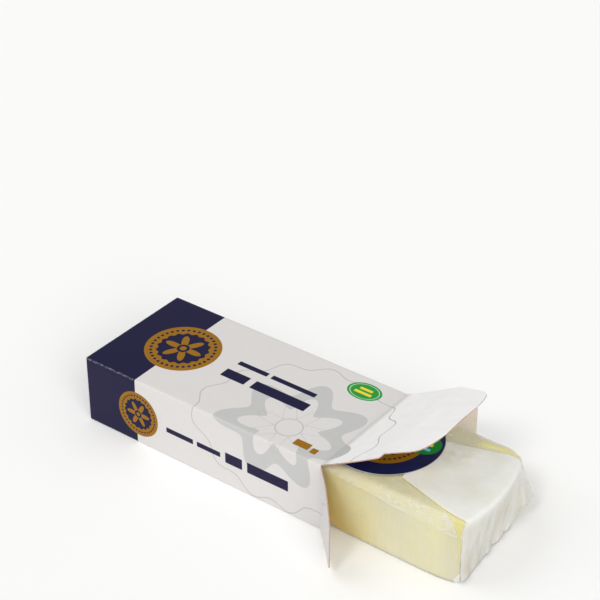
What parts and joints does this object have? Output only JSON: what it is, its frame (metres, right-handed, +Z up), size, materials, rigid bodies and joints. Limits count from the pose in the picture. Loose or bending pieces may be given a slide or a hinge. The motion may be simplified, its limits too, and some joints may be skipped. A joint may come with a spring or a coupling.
{
  "type": "wrapped butter block in open carton",
  "caption": "Small folding carton of butter, open at one end with four hinged board flaps, its film-wrapped block slid half out under a round label.",
  "frame": {"origin": "middle of the carton's underside, on the surface that it lies on", "axes": "+X along the carton's length, out of its open mouth and along the block; +Z up; +Y across the carton, away from the side that the picture shows"},
  "size_m": [0.183, 0.0978, 0.0539],
  "materials": {
    "printed_board": null,
    "wrapped_butter": "pale yellow butter under clear film, white where the film is folded over itself",
    "label_paper": "glossy navy paper label"
  },
  "bodies": {
    "carton_and_block": {"carton": "printed_board", "wrapped_butter_block": "wrapped_butter", "round_label": "label_paper"},
    "closure_panel": {"closure_panel": "printed_board"},
    "tuck_tongue": {"tuck_tongue": "printed_board"},
    "near_dust_flap": {"near_dust_flap": "printed_board"},
    "far_dust_flap": {"far_dust_flap": "printed_board"}
  },
  "joints": [
    {"name": "closure_hinge", "type": "hinge", "parent": "carton_and_block", "child": "closure_panel", "pos_m": [0.06, 0, 0.031], "axis": [0, -1, 0], "range_deg": [-18, 134]},
    {"name": "tongue_crease", "type": "hinge", "parent": "closure_panel", "child": "tuck_tongue", "pos_m": [0.08573, 0, 0.04603], "axis": [0, -1, 0], "range_deg": [-29, 20]},
    {"name": "near_dust_hinge", "type": "hinge", "parent": "carton_and_block", "child": "near_dust_flap", "pos_m": [0.06, -0.0292, 0], "axis": [0, 0, -1], "range_deg": [-45, 119]},
    {"name": "far_dust_hinge", "type": "hinge", "parent": "carton_and_block", "child": "far_dust_flap", "pos_m": [0.06, 0.0292, 0], "axis": [0, 0, 1], "range_deg": [-38, 126]}
  ]
}
